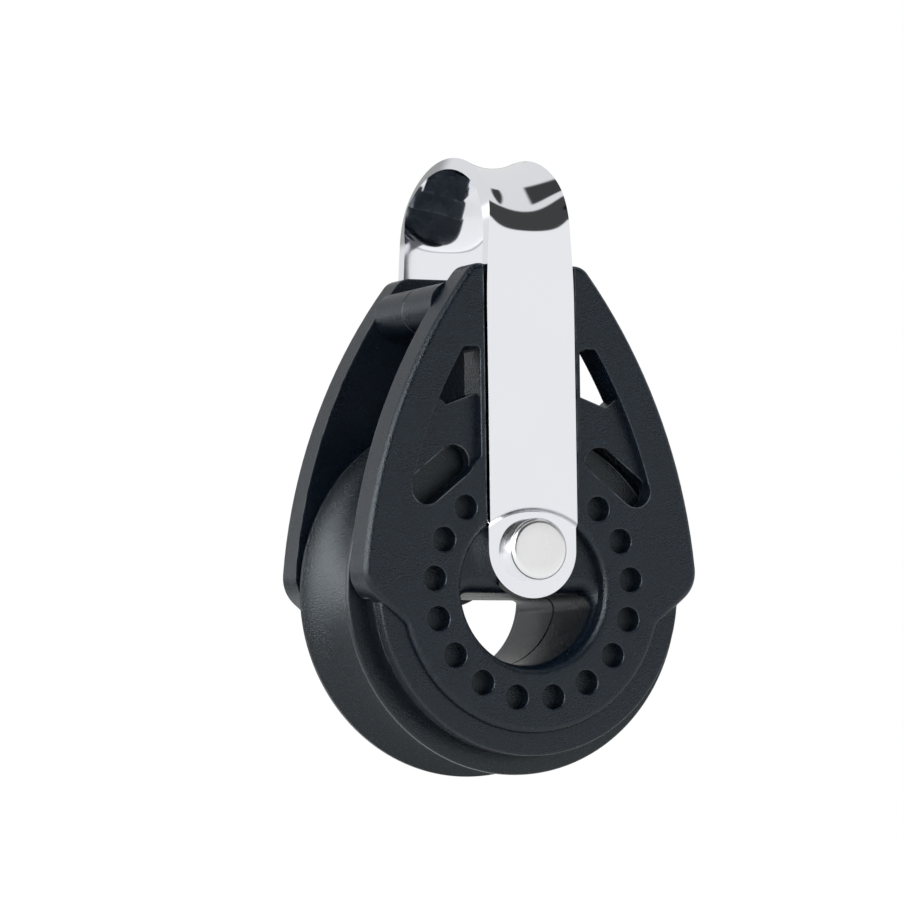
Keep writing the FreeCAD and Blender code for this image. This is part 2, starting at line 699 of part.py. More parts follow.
def strip_width(level):
    """Width of the strip, which narrows smoothly from the taper level to the top of the loop."""
    foot = value_of("Sizes.taper_level")
    top = value_of("Sizes.loop_level + Sizes.loop_rise")
    share = min(max((level - foot) / (top - foot), 0.0), 1.0)
    smooth = share * share * (3 - 2 * share)
    return value_of("Sizes.strap_width") - value_of("Sizes.strap_width - Sizes.loop_width") * smooth


def strip_section(origin, outward, angle):
    """Closed cross-section of the strip, curled so that its edges stand further out than its middle."""
    width = strip_width(origin.z)
    thickness = value_of("Sizes.strap_thickness")
    outer = []
    inner = []
    for index in range(STRIP_POINTS):
        share = 2 * index / (STRIP_POINTS - 1) - 1
        if angle < 1e-6:
            across, rise, inner_across, drop = share * width / 2, 0.0, share * width / 2, -thickness
        else:
            radius = width / (2 * angle)
            across = radius * math.sin(share * angle)
            rise = radius * (1 - math.cos(share * angle))
            inner_across = (radius + thickness) * math.sin(share * angle)
            drop = radius - (radius + thickness) * math.cos(share * angle)
        outer.append(origin + outward * rise + FreeCAD.Vector(across, 0, 0))
        inner.append(origin + outward * drop + FreeCAD.Vector(inner_across, 0, 0))
    edges = []
    for row in (outer, inner[::-1]):
        curve = Part.BSplineCurve()
        curve.interpolate(row)
        edges.append(curve.toShape())
    edges.insert(1, Part.LineSegment(outer[-1], inner[-1]).toShape())
    edges.append(Part.LineSegment(inner[0], outer[0]).toShape())
    return Part.Wire(edges)


def make_loop(foot):
    """Saddle-shaped loop, lofted through cross-sections from the foot level up, over and down again."""
    face = value_of(STRAP_FACE)
    level = value_of("Sizes.loop_level")
    rise = value_of("Sizes.loop_rise")
    straight = [foot + (level - foot) * step / STRAIGHT_STATIONS for step in range(STRAIGHT_STATIONS)]
    sections = [strip_section(FreeCAD.Vector(0, -face, z), FreeCAD.Vector(0, -1, 0), 0.0) for z in straight]
    for station in range(LOOP_STATIONS + 1):
        turn = 180.0 * station / LOOP_STATIONS
        cosine = math.cos(math.radians(turn))
        sine = math.sin(math.radians(turn))
        origin = FreeCAD.Vector(0, -face * cosine, level + rise * sine)
        outward = FreeCAD.Vector(0, -cosine / face, sine / rise).normalize()
        sections.append(strip_section(origin, outward, saddle_angle(turn)))
    sections += [strip_section(FreeCAD.Vector(0, face, z), FreeCAD.Vector(0, 1, 0), 0.0)
                 for z in reversed(straight)]
    return Part.makeLoft(sections, True, False)


def make_leg(top, side):
    """Flat leg with its round end stepped in along a curve, in front of (-1) or behind (+1) the middle."""
    width = value_of("Sizes.strap_width")
    thickness = value_of("Sizes.strap_thickness")
    outer = value_of(STRAP_FACE)
    lobe = value_of(LOBE_FACE)
    curve = value_of("Sizes.joggle_radius")
    foot = curve - value_of("Sizes.joggle_run")
    middle = value_of("Sizes.joggle_top - Sizes.joggle_radius")
    centre = value_of("Sizes.rivet_level")
    reach = 2 * top
    profile = [(0.0, lobe), (foot, lobe), (curve, outer), (reach, outer)]
    profile += [(radius, depth - thickness) for radius, depth in reversed(profile)]
    points = [FreeCAD.Vector(radius, side * depth, middle) for radius, depth in profile]
    along = FreeCAD.Vector(0, 1, 0)
    disc = Part.Face(Part.makePolygon(points + points[:1])).revolve(FreeCAD.Vector(0, 0, middle), along, 360)
    low = FreeCAD.Vector(-width / 2, -2 * outer, centre)
    outline = Part.makeBox(width, 4 * outer, top - centre, low)
    rounded = Part.makeCylinder(width / 2, 4 * outer, FreeCAD.Vector(0, low.y, centre), along)
    hole = Part.makeCylinder(value_of("Sizes.rivet_diameter/2 + Sizes.rivet_gap"), 4 * outer,
                             FreeCAD.Vector(0, low.y, centre), along)
    return disc.common(outline.fuse(rounded)).cut(hole)


def make_strap():
    """One strip: front leg, loop and rear leg. Its shape is set here, because it is curved both ways."""
    foot = value_of("Sizes.taper_level")
    whole = make_loop(foot).fuse([make_leg(foot, -1), make_leg(foot, 1)]).removeSplitter()
    strap = doc.addObject("Part::Feature", "strap")
    strap.Shape = whole.Solids[0] if len(whole.Solids) == 1 else whole
    strap.Placement = FreeCAD.Placement()
    return strap


def make_rivet():
    """Rivet through strap, cheeks and web, headed over at both ends."""
    body = make_body("rivet")
    shank = "Sizes.rivet_diameter/2"
    head = "Sizes.rivet_head_diameter/2"
    top = f"({LOBE_FACE} + Sizes.rivet_head_height)"
    half = [
        ("0", top),
        (head, top),
        (head, LOBE_FACE),
        (shank, LOBE_FACE),
    ]
    other = [(x, f"-({y})") for x, y in reversed(half)]
    section = make_sketch(body, "section_sketch", "XY_Plane")
    draw_outline(section, half + other)
    turned = body.newObject("PartDesign::Revolution", "rivet_turned")
    turned.Profile = section
    turned.ReferenceAxis = (section, ["V_Axis"])
    turned.Angle = 360.0
    check_growth(turned, 0.0, True)
    face = value_of(top)
    round_edges(body, "head_round", "Sizes.rivet_head_round",
                lambda edge: lies_at_depth(edge, face) or lies_at_depth(edge, -face))
    body.setExpression("Placement.Base.z", "Sizes.rivet_level")
    return body


# ---------------------------------------------------------------- assembly

def write_parts(pieces):
    """Check every object and every piece, then write one STEP file for each piece."""
    doc.recompute()
    for item in doc.Objects:
        if "Invalid" in item.State or "Error" in item.State:
            raise RuntimeError(f"{item.Name} is {item.State}")
    for piece in pieces:
        if piece.Shape.isNull() or not piece.Shape.isValid() or not piece.Shape.Solids:
            raise RuntimeError(f"{piece.Label} has no valid shape")
    os.makedirs("parts", exist_ok=True)
    for piece in pieces:
        piece.Shape.exportStep(os.path.join("parts", f"{piece.Label}.step"))
        solid = piece.Shape
        print(f"{piece.Label}: {len(solid.Solids)} solid, {solid.Volume:.2f} mm3, {len(solid.Faces)} faces")


balls = []
front_cheek = make_cheek("front_cheek", 0)
rear_cheek = make_cheek("rear_cheek", 180)
sheave = make_sheave()
make_balls("front_ball", -1)
make_balls("rear_ball", 1)
strap = make_strap()
rivet = make_rivet()
write_parts([front_cheek, rear_cheek, sheave, strap, rivet] + balls)
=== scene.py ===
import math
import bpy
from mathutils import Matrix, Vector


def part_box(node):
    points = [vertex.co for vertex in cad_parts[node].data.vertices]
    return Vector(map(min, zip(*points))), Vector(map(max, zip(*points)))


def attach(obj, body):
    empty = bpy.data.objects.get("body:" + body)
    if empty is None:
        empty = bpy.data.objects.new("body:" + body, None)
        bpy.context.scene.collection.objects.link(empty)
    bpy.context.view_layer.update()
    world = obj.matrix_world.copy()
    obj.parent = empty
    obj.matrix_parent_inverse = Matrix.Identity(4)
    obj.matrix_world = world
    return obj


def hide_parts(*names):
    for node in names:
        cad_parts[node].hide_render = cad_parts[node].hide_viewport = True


bl_info = {
    "name": "Sheave Block",
    "version": (1, 0, 0),
    "blender": (4, 5, 0),
    "location": "View3D > Sidebar > Sheave Block",
    "description": "Polished strap and rivet, moulded cheeks, grooved sheave and a plain studio",
    "category": "Object",
}

import bmesh
import bpy
from bpy.props import FloatProperty, FloatVectorProperty, IntProperty, PointerProperty
from mathutils import Matrix, Vector

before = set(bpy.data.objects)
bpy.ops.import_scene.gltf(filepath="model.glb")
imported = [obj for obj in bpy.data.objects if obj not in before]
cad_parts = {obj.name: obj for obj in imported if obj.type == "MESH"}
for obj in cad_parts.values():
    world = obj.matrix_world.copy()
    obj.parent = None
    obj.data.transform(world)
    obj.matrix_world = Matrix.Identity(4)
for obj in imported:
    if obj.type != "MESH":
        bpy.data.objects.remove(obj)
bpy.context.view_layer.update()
_, SHEAVE_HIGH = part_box("sheave")
RIVET_LOW, RIVET_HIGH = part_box("rivet")
STRAP_LOW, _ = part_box("strap")
RIVET_LEVEL = (RIVET_LOW.z + RIVET_HIGH.z) / 2
MM = 0.001
SENSOR_WIDTH = 36.0


# ------------------------------------------------------------------ sizes and colours

def length(name, description, default):
    """Return a property for a length in metres."""
    return FloatProperty(name=name, description=description, default=default, unit="LENGTH", precision=5)


def angle(name, description, default):
    """Return a property for an angle, with its default given in degrees."""
    return FloatProperty(name=name, description=description, default=math.radians(default),
                         subtype="ANGLE")


def colour(name, description, default):
    """Return a property for a colour in linear red, green and blue."""
    return FloatVectorProperty(name=name, description=description, default=default, subtype="COLOR",
                               size=3, min=0.0, max=1.0)


class StrapSizes(bpy.types.PropertyGroup):
    """Sizes of the bent strip."""
    width: length("Width", "Width of the legs and round ends", 2 * (RIVET_LEVEL - STRAP_LOW.z))
    loop_width: length("Loop width", "Width at the top of the loop", 6.6 * MM)
    taper_level: length("Taper level", "Height at which the legs begin to narrow", 22.5 * MM)
    thickness: length("Thickness", "Thickness of the strip", 1.0 * MM)
    face: length("Face depth", "Outer face of the legs from the middle plane", 8.3 * MM)
    edge_round: length("Edge rounding", "Rounding that polishing leaves on the edges", 0.14 * MM)
    joggle: length("Step", "How far the round end is stepped inwards", 0.3 * MM)
    joggle_top: length("Step top", "Height of the upper end of the step", 6.4 * MM)
    joggle_run: length("Step run", "Height that the step takes", 0.35 * MM)
    joggle_radius: length("Step radius", "Curve of the step, over the rivet", 6.7 * MM)
    loop_level: length("Loop level", "Height at which the legs begin to bend", 27.8 * MM)
    loop_rise: length("Loop rise", "Rise of the middle of the loop above that", 6.25 * MM)
    saddle_turn: angle("Saddle turn", "How far each edge of the strip turns up round the loop", 26.0)
    saddle_full: angle("Saddle full", "Where round the loop the edges are fully up", 40.0)


class RivetSizes(bpy.types.PropertyGroup):
    """Sizes of the rivet."""
    head_radius: length("Head radius", "Radius of both heads", RIVET_HIGH.x)
    head_height: length("Head height", "Height of both heads", 1.34 * MM)
    shank_radius: length("Shank radius", "Radius of the shank", 1.6 * MM)
    edge_round: length("Edge rounding", "Rounding of the edge of the heads", 0.44 * MM)


class SheaveSizes(bpy.types.PropertyGroup):
    """Sizes of the sheave's section."""
    rim_radius: length("Rim radius", "Radius over the rims", SHEAVE_HIGH.z)
    rim_side: length("Rim side", "Half of the width over the rims", 4.65 * MM)
    rim_land: length("Rim land", "Flat left on each rim beside the groove", 0.45 * MM)
    rim_round: length("Rim rounding", "Rounding of the rim edges", 0.2 * MM)
    groove_depth: length("Groove depth", "Depth of the groove", 2.7 * MM)
    hub_radius: length("Hub radius", "Radius of the raised side face", 12.9 * MM)
    hub_side: length("Hub side", "Half of the width over the side faces", SHEAVE_HIGH.y)
    race_radius: length("Race radius", "Outer radius of the ball races", 9.63 * MM)
    race_corner: length("Race corner", "Hollow corner of the ball races", 1.24 * MM)
    race_inset: length("Race inset", "Centre of that corner from the side face", 0.87 * MM)
    land_radius: length("Land radius", "Radius of the centre land", 7.65 * MM)
    steps: IntProperty(name="Steps", description="Faces round the sheave", default=160, min=24)


class BlockColours(bpy.types.PropertyGroup):
    """Colours of the finishes."""
    cheek: colour("Cheek", "Moulded plastic of the cheeks", (0.0015, 0.0035, 0.0070))
    sheave: colour("Sheave", "Moulded plastic of the sheave", (0.0025, 0.0040, 0.0060))
    # Lighter colour of the handled edges. It is partly scuffing and partly a painted highlight along the
    # edges.
    rubbed: colour("Rubbed edges", "Plastic on the edges that handling has rubbed", (0.110, 0.120, 0.135))
    strap: colour("Strap", "Polished stainless steel", (0.93, 0.945, 0.985))
    rivet: colour("Rivet", "Turned stainless steel", (0.97, 0.97, 0.975))
    ball: colour("Ball", "Plastic of the balls", (0.80, 0.78, 0.72))


class StudioSettings(bpy.types.PropertyGroup):
    """Camera and floor."""
    distance: length("Distance", "Camera to the middle of the view", 434.0 * MM)
    aim_side: length("Aim sideways", "Sideways place of the middle of the view", -3.078 * MM)
    aim_up: length("Aim up", "Height of the middle of the view", 11.288 * MM)
    yaw: angle("Yaw", "Camera direction round the block", -25.616)
    pitch: angle("Pitch", "Camera direction above the horizon", -4.024)
    roll: angle("Roll", "Turn of the camera about its own axis", -0.818)
    lens: FloatProperty(name="Lens", description="Focal length in millimetres on a 36 mm sensor",
                        default=216.94)
    floor_level: length("Floor level", "Height of the floor", -30.0 * MM)


# ------------------------------------------------------------------ modelling helpers

SMOOTH_LIMIT = 35.0
CHEEK_SMOOTH_LIMIT = 38.0
CHEEK_MERGE = 1e-6


def deselect_all():
    """Leave edit mode and select nothing."""
    if bpy.context.object and bpy.context.object.mode != "OBJECT":
        bpy.ops.object.mode_set(mode="OBJECT")
    bpy.ops.object.select_all(action="DESELECT")


def pick(obj):
    """Make obj the only selected and the active object."""
    deselect_all()
    obj.select_set(True)
    bpy.context.view_layer.objects.active = obj


def apply_modifiers(obj):
    """Apply all modifiers of obj, in their order."""
    pick(obj)
    for modifier in list(obj.modifiers):
        bpy.ops.object.modifier_apply(modifier=modifier.name)


def clean_mesh(obj, merge=1e-7, recalculate=True):
    """Merge doubled vertices and, unless told not to, point the faces outwards."""
    pick(obj)
    bpy.ops.object.mode_set(mode="EDIT")
    bpy.ops.mesh.select_all(action="SELECT")
    bpy.ops.mesh.remove_doubles(threshold=merge)
    if recalculate:
        bpy.ops.mesh.normals_make_consistent(inside=False)
    bpy.ops.object.mode_set(mode="OBJECT")


def smooth_shade(obj, limit=SMOOTH_LIMIT):
    """Shade obj smooth, but keep edges sharper than limit in degrees."""
    pick(obj)
    bpy.ops.object.shade_smooth_by_angle(angle=math.radians(limit))


def dress(obj, material, body, slot, *nodes):
    """Give a finished piece its material, the body it rides on and the nodes it stands for."""
    obj.data.materials.clear()
    obj.data.materials.append(material)
    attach(obj, body)
    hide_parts(*nodes)


def merged_copy(node, name):
    """Return a smooth-shaded copy of a CAD node with its triangles joined up."""
    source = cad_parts[node]
    copy = bpy.data.objects.new(name, source.data.copy())
    bpy.context.scene.collection.objects.link(copy)
    pick(copy)
    if copy.data.has_custom_normals:
        bpy.ops.mesh.customdata_custom_splitnormals_clear()
    clean_mesh(copy, merge=CHEEK_MERGE, recalculate=False)
    smooth_shade(copy, CHEEK_SMOOTH_LIMIT)
    weighted = copy.modifiers.new("Normals", "WEIGHTED_NORMAL")
    weighted.keep_sharp = True
    apply_modifiers(copy)
    return copy


def spin_profile(name, profile, steps, level):
    """Spin a closed profile of (radius, depth) points about the line along Y at this level."""
    bpy.ops.mesh.primitive_plane_add(size=MM, location=(0, 0, level))
    obj = bpy.context.object
    obj.name = name
    bpy.ops.object.transform_apply(location=True, rotation=True, scale=True)
    bpy.ops.object.mode_set(mode="EDIT")
    bpy.ops.mesh.delete(type="VERT")
    mesh = bmesh.from_edit_mesh(obj.data)
    points = [mesh.verts.new((radius, depth, level)) for radius, depth in profile]
    for index, point in enumerate(points):
        mesh.edges.new((point, points[(index + 1) % len(points)]))
    bmesh.update_edit_mesh(obj.data)
    bpy.ops.mesh.select_all(action="SELECT")
    bpy.ops.mesh.spin(steps=steps, angle=2 * math.pi, center=(0, 0, level), axis=(0, 1, 0))
    bpy.ops.object.mode_set(mode="OBJECT")
    clean_mesh(obj)
    return obj


def arc_points(centre, radius, start, end, count):
    """Return points on an arc about (radius, depth) centre, between two angles in degrees."""
    points = []
    for index in range(count + 1):
        turn = math.radians(start + (end - start) * index / count)
        points.append((centre[0] + radius * math.cos(turn), centre[1] + radius * math.sin(turn)))
    return points


# ------------------------------------------------------------------ strap

# Rows of faces in the round end, in each reach beside the step, in the step, in the leg and in the loop.
END_ROWS = 10
REACH_ROWS = 5
STEP_ROWS = 14
LEG_ROWS = 14
LOOP_ROWS = 72
# Faces across the strip.
ACROSS = 24
STEP_MARGIN = 0.12 * MM
REACH_ABOVE = 3.0 * MM
# The curl of a flat row, which needs a radius too.
LEAST_CURL = 1e-4
EDGE_SEGMENTS = 4
EDGE_ANGLE = 50


def blend_step(value, low, high):
    """Rise smoothly from 0 to 1 as value goes from low to high."""
    share = min(max((value - low) / (high - low), 0.0), 1.0)
    return share * share * (3 - 2 * share)


def strap_width(sizes, level):
    """Width of the strip, which narrows smoothly from the taper level to the top of the loop."""
    narrowing = blend_step(level, sizes.taper_level, sizes.loop_level + sizes.loop_rise)
    return sizes.width - (sizes.width - sizes.loop_width) * narrowing


def across_shares():
    """Return places across the strip, from -1 at its left edge to 1 at its right edge."""
    return [2 * index / ACROSS - 1 for index in range(ACROSS + 1)]


def leg_point(sizes, side, level):
    """Return a point of the front leg's outer face, stepped in along a curve over the rivet."""
    reach = math.hypot(side, level - (sizes.joggle_top - sizes.joggle_radius))
    step_start = sizes.joggle_radius - sizes.joggle_run
    inwards = sizes.joggle * (1 - blend_step(reach, step_start, sizes.joggle_radius))
    return Vector((side, inwards - sizes.face, level))


def end_row(sizes, down):
    """Return one row across the round end, which follows its outline more closely further down."""
    half = sizes.width / 2
    row = []
    for share in across_shares():
        side = half * share * math.sqrt(1 - down * down / 2)
        level = RIVET_LEVEL - half * down * math.sqrt(1 - share * share / 2)
        row.append(leg_point(sizes, side, level))
    return row


def leg_row(sizes, level, bow):
    """Return one row across the leg, bowed as the step is by this share."""
    half = strap_width(sizes, level) / 2
    radius = sizes.joggle_radius
    row = []
    for share in across_shares():
        side = share * half
        row.append(leg_point(sizes, side, level + bow * (math.sqrt(radius ** 2 - side ** 2) - radius)))
    return row


def loop_row(sizes, turn):
    """Return one row of points across the loop, curled up at both edges."""
    from_leg = min(turn, math.pi - turn)
    curl = max(sizes.saddle_turn * blend_step(from_leg, 0.0, sizes.saddle_full), LEAST_CURL)
    middle = Vector((0, -sizes.face * math.cos(turn), sizes.loop_level + sizes.loop_rise * math.sin(turn)))
    outward = Vector((0, -math.cos(turn) / sizes.face, math.sin(turn) / sizes.loop_rise)).normalized()
    radius = strap_width(sizes, middle.z) / (2 * curl)
    row = []
    for share in across_shares():
        across = Vector((radius * math.sin(share * curl), 0, 0))
        row.append(middle + across + outward * radius * (1 - math.cos(share * curl)))
    return row


def spaced(low, high, count):
    """Return count levels from low up to, and without, high."""
    return [low + (high - low) * index / count for index in range(count)]


def strap_rows(sizes):
    """Return the rows of the strip's outer face, from the front round end over to the rear one."""
    step_low = sizes.joggle_top - sizes.joggle_run - STEP_MARGIN
    step_high = sizes.joggle_top + STEP_MARGIN
    reach_top = step_high + REACH_ABOVE
    levels = spaced(RIVET_LEVEL, step_low, REACH_ROWS) + spaced(step_low, step_high, STEP_ROWS)
    levels += spaced(step_high, reach_top, REACH_ROWS) + spaced(reach_top, sizes.loop_level, LEG_ROWS)
    front = [end_row(sizes, 1 - index / END_ROWS) for index in range(END_ROWS)]
    for level in levels:
        bow = blend_step(level, RIVET_LEVEL, step_low) * (1 - blend_step(level, step_high, reach_top))
        front.append(leg_row(sizes, level, bow))
    rear = [[Vector((point.x, -point.y, point.z)) for point in row] for row in reversed(front)]
    loop = [loop_row(sizes, math.pi * index / LOOP_ROWS) for index in range(LOOP_ROWS + 1)]
    return front + loop + rear


class SHEAVE_OT_strap(bpy.types.Operator):
    """Bend the strip into its loop, give it thickness and polish its edges"""
    bl_idname = "sheave.strap"
    bl_label = "Strap"

    def execute(self, context):
        sizes = context.scene.strap_sizes
        rows = strap_rows(sizes)
        deselect_all()
        bpy.ops.mesh.primitive_grid_add(x_subdivisions=ACROSS, y_subdivisions=len(rows) - 1, size=1.0)
        strap = context.object
        strap.name = "polished_strap"
        for vertex in strap.data.vertices:
            column = round((vertex.co.x + 0.5) * ACROSS)
            row = round((vertex.co.y + 0.5) * (len(rows) - 1))
            vertex.co = rows[row][column]
        clean_mesh(strap)
        subdivide = strap.modifiers.new("Subdivide", "SUBSURF")
        subdivide.levels = subdivide.render_levels = 1
        solidify = strap.modifiers.new("Thickness", "SOLIDIFY")
        solidify.thickness = sizes.thickness
        solidify.offset = -1.0
        solidify.use_even_offset = True
        bevel = strap.modifiers.new("Edges", "BEVEL")
        bevel.width = sizes.edge_round
        bevel.segments = EDGE_SEGMENTS
        bevel.limit_method = "ANGLE"
        bevel.angle_limit = math.radians(EDGE_ANGLE)
        bevel.harden_normals = True
        pick(strap)
        bpy.ops.object.shade_smooth()
        apply_modifiers(strap)
        dress(strap, strap_steel(), "frame", "strap_steel", "strap")
        return {"FINISHED"}


# ------------------------------------------------------------------ rivet, sheave, cheeks, balls

# Faces round the rivet, and along the arcs of both turned sections.
RIVET_STEPS = 96
HEAD_EDGE_STEPS = 6
GROOVE_STEPS = 20
RIM_EDGE_STEPS = 4
RACE_STEPS = 8
# A point this close to the axis stands for one on it.
AXIS_RADIUS = 1e-6


class SHEAVE_OT_rivet(bpy.types.Operator):
    """Turn the rivet with both of its heads"""
    bl_idname = "sheave.rivet"
    bl_label = "Rivet"

    def execute(self, context):
        sizes = context.scene.rivet_sizes
        deselect_all()
        top = RIVET_HIGH.y
        seat = top - sizes.head_height
        edge = (sizes.head_radius - sizes.edge_round, top - sizes.edge_round)
        front = [(AXIS_RADIUS, top), (sizes.head_radius * 0.5, top)]
        front += arc_points(edge, sizes.edge_round, 90, 0, HEAD_EDGE_STEPS)
        front += [(sizes.head_radius, seat), (sizes.shank_radius, seat)]
        rear = [(radius, -depth) for radius, depth in reversed(front)]
        rivet = spin_profile("headed_rivet", front + rear, RIVET_STEPS, RIVET_LEVEL)
        smooth_shade(rivet)
        dress(rivet, rivet_steel(), "frame", "rivet_steel", "rivet")
        return {"FINISHED"}


class SHEAVE_OT_sheave(bpy.types.Operator):
    """Turn the grooved sheave"""
    bl_idname = "sheave.sheave"
    bl_label = "Sheave"

    def execute(self, context):
        sizes = context.scene.sheave_sizes
        deselect_all()
        groove_half = sizes.rim_side - sizes.rim_land
        radius = (groove_half ** 2 + sizes.groove_depth ** 2) / (2 * sizes.groove_depth)
        centre = (sizes.rim_radius - sizes.groove_depth + radius, 0.0)
        reach = math.degrees(math.asin(groove_half / radius))
        half = arc_points(centre, radius, 180, 180 - reach, GROOVE_STEPS)
        edge = (sizes.rim_radius - sizes.rim_round, sizes.rim_side - sizes.rim_round)
        half += arc_points(edge, sizes.rim_round, 90, 0, RIM_EDGE_STEPS)[::-1]
        half += [(sizes.hub_radius, sizes.rim_side), (sizes.hub_radius, sizes.hub_side)]
        race = (sizes.race_radius - sizes.race_corner, sizes.hub_side - sizes.race_inset)
        half += [(sizes.race_radius, sizes.hub_side)]
        half += arc_points(race, sizes.race_corner, 0, -90, RACE_STEPS)
        half += [(sizes.land_radius, race[1] - sizes.race_corner)]
        other = [(point[0], -point[1]) for point in reversed(half[1:])]
        sheave = spin_profile("turned_sheave", half + other, sizes.steps, 0.0)
        smooth_shade(sheave)
        dress(sheave, sheave_plastic(), "sheave", "sheave_plastic", "sheave")
        return {"FINISHED"}


class SHEAVE_OT_cheeks(bpy.types.Operator):
    """Finish both moulded cheeks"""
    bl_idname = "sheave.cheeks"
    bl_label = "Cheeks"

    def execute(self, context):
        deselect_all()
        material = cheek_plastic()
        for side in ("front", "rear"):
            cheek = merged_copy(f"{side}_cheek", f"moulded_{side}_cheek")
            dress(cheek, material, "frame", "cheek_plastic", f"{side}_cheek")
        return {"FINISHED"}


class SHEAVE_OT_balls(bpy.types.Operator):
    """Finish the loose balls of both rings"""
    bl_idname = "sheave.balls"
    bl_label = "Balls"

    def execute(self, context):
        material = ball_plastic()
        for name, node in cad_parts.items():
            if "_ball_" in name:
                node.data.materials.clear()
                node.data.materials.append(material)
        return {"FINISHED"}


# ------------------------------------------------------------------ shader helpers

def add_node(tree, kind, place, **settings):
    """Add a node at this place, with values for its inputs and its own settings."""
    node = tree.nodes.new(kind)
    node.location = place
    for key, value in settings.items():
        if key in node.inputs:
            node.inputs[key].default_value = value
        else:
            setattr(node, key, value)
    return node


def set_inputs(node, values):
    """Give some inputs of a node values of their own."""
    for key, value in values.items():
        node.inputs[key].default_value = value


def link(tree, source, output, target, entry):
    """Link one output of the source node to one input of the target node."""
    tree.links.new(source.outputs[output], target.inputs[entry])


def plug(tree, value, socket):
    """Link an output to this socket, or set a plain value on it."""
    if isinstance(value, bpy.types.NodeSocket):
        tree.links.new(value, socket)
    else:
        socket.default_value = value


def calculate(tree, operation, place, *values, **settings):
    """Return the result of a maths node on numbers and outputs."""
    node = add_node(tree, "ShaderNodeMath", place, operation=operation, **settings)
    for socket, value in zip(node.inputs, values):
        plug(tree, value, socket)
    return node.outputs[0]


def rise(tree, place, source, low, high, shape="LINEAR"):
    """Return 0 to 1 as source goes from low to high, where low may be the larger."""
    node = add_node(tree, "ShaderNodeMapRange", place, interpolation_type=shape)
    set_inputs(node, {"From Min": low, "From Max": high})
    tree.links.new(source, node.inputs["Value"])
    return node.outputs[0]


def spread(tree, place, source, low, high):
    """Return low to high as source goes from 0 to 1."""
    node = add_node(tree, "ShaderNodeMapRange", place)
    set_inputs(node, {"To Min": low, "To Max": high})
    tree.links.new(source, node.inputs["Value"])
    return node.outputs[0]


def mix_colours(tree, place, factor, first, second):
    """Return first where factor is 0 and second where it is 1. Each is a colour or an output."""
    node = add_node(tree, "ShaderNodeMix", place, data_type="RGBA")
    tree.links.new(factor, node.inputs["Factor"])
    for socket, value in ((node.inputs[6], first), (node.inputs[7], second)):
        if isinstance(value, bpy.types.NodeSocket):
            tree.links.new(value, socket)
        else:
            socket.default_value = (*value, 1.0)
    return node.outputs[2]


# ------------------------------------------------------------------ shader groups

# Ranges over which a mask rises: specks of the grain, which also carry painted glints, thin edges, and
# patches of those edges that are scuffed and carry a painted highlight.
SPECKS = (0.56, 0.68)
THIN_EDGES = (0.85, 0.45)
SCUFFED_HIGHLIT_PATCHES = (0.35, 0.6)


def start_group(name, inputs, outputs):
    """Return a new group with these inputs and their defaults, and its input and output nodes."""
    tree = bpy.data.node_groups.new(name, "ShaderNodeTree")
    for label, default in inputs.items():
        kind = "NodeSocketVector" if isinstance(default, tuple) else "NodeSocketFloat"
        socket = tree.interface.new_socket(name=label, in_out="INPUT", socket_type=kind)
        socket.default_value = default
    for label in outputs:
        tree.interface.new_socket(name=label, in_out="OUTPUT", socket_type="NodeSocketFloat")
    return tree, tree.nodes.new("NodeGroupInput"), tree.nodes.new("NodeGroupOutput")


def use_group(tree, make, place, **values):
    """Add the group that make builds, named after it and built only the first time."""
    name = make.__name__.replace("_", " ").capitalize()
    node = add_node(tree, "ShaderNodeGroup", place)
    node.node_tree = bpy.data.node_groups.get(name) or make(name)
    set_inputs(node, values)
    return node


def moulded_grain(name):
    """Group: the fine pitted skin that a spark-eroded mould leaves on plastic."""
    tree, entry, result = start_group(name, {"Grain": 5000.0, "Blotch": 300.0}, ["Height", "Speck", "Blotch"])
    place = add_node(tree, "ShaderNodeTexCoord", (-800, 0))
    fine = add_node(tree, "ShaderNodeTexNoise", (-500, 200), Detail=3.0, Roughness=0.6)
    cells = add_node(tree, "ShaderNodeTexVoronoi", (-500, -50), feature="SMOOTH_F1")
    broad = add_node(tree, "ShaderNodeTexNoise", (-500, -300), Detail=2.0)
    for texture, scale in ((fine, "Grain"), (cells, "Grain"), (broad, "Blotch")):
        link(tree, place, "Object", texture, "Vector")
        link(tree, entry, scale, texture, "Scale")
    height = calculate(tree, "ADD", (-200, 100), fine.outputs[0], cells.outputs["Distance"])
    speck = rise(tree, (-200, -120), fine.outputs[0], *SPECKS)
    tree.links.new(height, result.inputs["Height"])
    tree.links.new(speck, result.inputs["Speck"])
    tree.links.new(broad.outputs[0], result.inputs["Blotch"])
    return tree


def edge_wear_and_highlight(name):
    """Group: mask of the outer edges that handling has smoothed, along which a painted highlight is laid too.
    """
    tree, entry, result = start_group(name, {"Reach": 0.0003, "Patch": 700.0}, ["Mask"])
    thin = add_node(tree, "ShaderNodeAmbientOcclusion", (-600, 100), samples=8, inside=True, only_local=True)
    place = add_node(tree, "ShaderNodeTexCoord", (-600, -350))
    noise = add_node(tree, "ShaderNodeTexNoise", (-400, -350), Detail=3.0)
    link(tree, entry, "Reach", thin, "Distance")
    link(tree, entry, "Patch", noise, "Scale")
    link(tree, place, "Object", noise, "Vector")
    edges = rise(tree, (-200, 0), thin.outputs["AO"], *THIN_EDGES)
    patches = rise(tree, (-200, -300), noise.outputs[0], *SCUFFED_HIGHLIT_PATCHES)
    mask = calculate(tree, "MULTIPLY", (0, 0), edges, patches)
    tree.links.new(mask, result.inputs["Mask"])
    return tree


